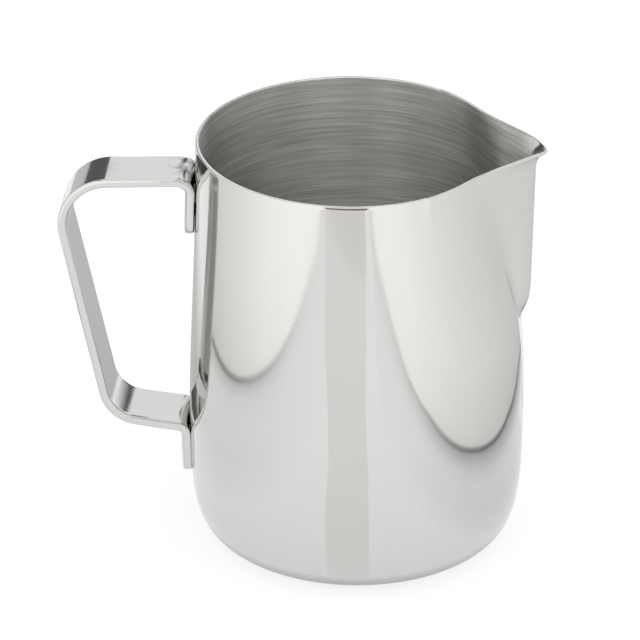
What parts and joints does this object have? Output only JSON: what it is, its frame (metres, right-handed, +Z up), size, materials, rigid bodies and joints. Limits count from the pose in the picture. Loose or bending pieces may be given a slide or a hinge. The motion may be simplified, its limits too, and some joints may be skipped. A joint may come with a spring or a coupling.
{
  "type": "milk frothing pitcher",
  "caption": "Open drawn-steel cup with a soft belly, a pressed V-shaped pouring spout and a bent strap handle welded to the wall, for steaming and pouring milk.",
  "frame": {"origin": "on the axis of the round cup, at the level of the surface that the pitcher stands on", "axes": "+Z up along the cup's axis, +X towards the spout's nose, so the handle points along -X"},
  "size_m": [0.1249, 0.0874, 0.1106],
  "materials": {
    "polished_steel": "mirror-polished stainless steel outside, fine turned grain inside",
    "strap_steel": "bright polished stainless steel strip with soft edges",
    "weld_steel": "dull fused steel"
  },
  "bodies": {
    "root": {"pitcher_body": "polished_steel", "handle_strap": "strap_steel", "upper_weld_top": "weld_steel", "upper_weld_low": "weld_steel", "lower_weld_top": "weld_steel", "lower_weld_low": "weld_steel"}
  },
  "joints": []
}
